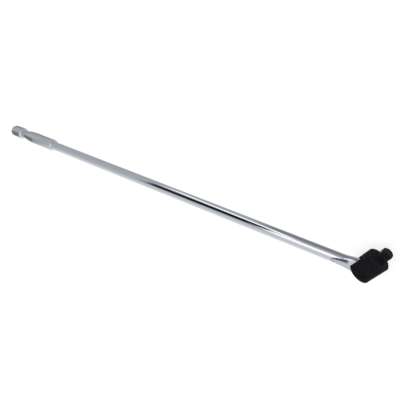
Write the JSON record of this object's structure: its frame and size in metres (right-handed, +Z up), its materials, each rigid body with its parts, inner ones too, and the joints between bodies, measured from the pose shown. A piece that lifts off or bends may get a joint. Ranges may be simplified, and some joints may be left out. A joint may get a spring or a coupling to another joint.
{
  "type": "breaker bar",
  "caption": "Flex-head breaker bar: long chromed round bar with a turned grip and knob, and a black pivoting head with a square drive.",
  "frame": {"origin": "middle of the tool's box seen from above, at the level of the bench under the head", "axes": "+X along the bar from the knob to the head, +Z up, along the pivot pin, +Y to the side that the head is turned to"},
  "size_m": [0.7352, 0.0524, 0.0308],
  "materials": {
    "chrome_plate": "polished",
    "black_oxide": "satin",
    "bearing_steel": "polished",
    "spring_steel": "satin"
  },
  "bodies": {
    "bar": {"shaft": "chrome_plate", "grip_sleeve": "chrome_plate", "end_knob": "chrome_plate"},
    "head": {"drive_head": "black_oxide", "pivot_pin": "black_oxide", "friction_ball": "bearing_steel", "friction_spring": "spring_steel", "retaining_spring": "spring_steel"},
    "retaining_ball": {"retaining_ball": "bearing_steel"}
  },
  "joints": [
    {"name": "head_pivot", "type": "hinge", "parent": "bar", "child": "head", "pos_m": [0.343, -0.01, 0.0154], "axis": [0, 0, 1], "range_deg": [-150, 30]},
    {"name": "ball_press", "type": "slide", "parent": "head", "child": "retaining_ball", "axis": [0.866, -0.5, 0], "range_m": [0, 0.0009], "stiffness_N_per_m": 4000, "springref_m": -0.0015, "deforming": ["retaining_spring"]}
  ]
}
